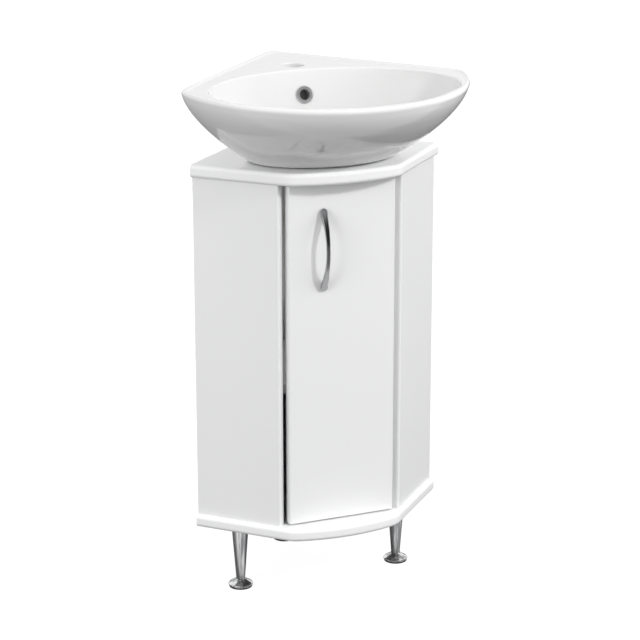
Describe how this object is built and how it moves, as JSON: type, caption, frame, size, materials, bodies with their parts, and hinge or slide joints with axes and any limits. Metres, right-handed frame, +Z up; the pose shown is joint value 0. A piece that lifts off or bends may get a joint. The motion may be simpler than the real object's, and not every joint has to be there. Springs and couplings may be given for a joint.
{
  "type": "corner vanity unit",
  "caption": "White five-sided corner vanity cabinet with a hinged door, bow handle and tapered levelling legs, under a ceramic corner basin with tap and overflow holes.",
  "frame": {"origin": "on the floor, at the centre of the unit's own box", "axes": "+X to the viewer's right, +Y towards the room corner behind the unit, +Z up"},
  "size_m": [0.5026, 0.4739, 0.9049],
  "materials": {
    "white_board": "white satin lacquer on wood-based board",
    "plain_board": "matt white foil on wood-based board",
    "dowel_wood": "plain beech",
    "ceramic": "glossy white glaze",
    "chrome": "polished chrome plating",
    "nickel_steel": "nickel-plated pressed steel",
    "zinc_steel": "zinc-plated steel",
    "rubber": "matt black rubber",
    "white_plastic": "white moulded plastic"
  },
  "bodies": {
    "cabinet": {"bottom_board": "white_board", "top_board": "white_board", "left_side_panel": "white_board", "right_side_panel": "white_board", "left_back_panel": "plain_board", "right_back_panel": "plain_board", "corner_post": "plain_board", "panel_dowels": "dowel_wood", "panel_screws": "zinc_steel", "top_brackets": "zinc_steel", "bracket_screws": "zinc_steel", "shelf": "white_board", "shelf_pins": "zinc_steel", "upper_hinge_arm": "nickel_steel", "lower_hinge_arm": "nickel_steel", "hinge_arm_screws": "zinc_steel", "upper_hinge_plate": "nickel_steel", "lower_hinge_plate": "nickel_steel", "hinge_plate_screws": "zinc_steel", "left_leg_plate": "zinc_steel", "right_leg_plate": "zinc_steel", "back_leg_plate": "zinc_steel", "leg_screws": "zinc_steel", "left_leg": "chrome", "right_leg": "chrome", "back_leg": "chrome", "basin": "ceramic", "overflow_ring": "chrome", "waste_strainer": "chrome", "waste_washer": "rubber", "waste_nut": "white_plastic", "trap_inlet_nut": "white_plastic", "trap_body": "white_plastic", "trap_cup": "white_plastic", "trap_outlet_nut": "white_plastic", "outlet_pipe": "white_plastic", "wall_rosette": "white_plastic"},
    "door": {"door": "white_board", "handle": "chrome", "handle_screws": "zinc_steel", "upper_hinge_cup": "nickel_steel", "lower_hinge_cup": "nickel_steel", "hinge_cup_screws": "zinc_steel", "upper_hinge_pin": "nickel_steel", "lower_hinge_pin": "nickel_steel"},
    "left_foot": {"left_foot": "chrome", "left_foot_pad": "rubber"},
    "right_foot": {"right_foot": "chrome", "right_foot_pad": "rubber"},
    "back_foot": {"back_foot": "chrome", "back_foot_pad": "rubber"}
  },
  "joints": [
    {"name": "door_hinge", "type": "hinge", "parent": "cabinet", "child": "door", "pos_m": [0.08901, -0.0813, 0.442], "axis": [0, 0, 1], "range_deg": [0, 95]},
    {"name": "left_foot_level", "type": "slide", "parent": "cabinet", "child": "left_foot", "axis": [0, 0, -1], "range_m": [0, 0.01]},
    {"name": "right_foot_level", "type": "slide", "parent": "cabinet", "child": "right_foot", "axis": [0, 0, -1], "range_m": [0, 0.01]},
    {"name": "back_foot_level", "type": "slide", "parent": "cabinet", "child": "back_foot", "axis": [0, 0, -1], "range_m": [0, 0.01]}
  ]
}
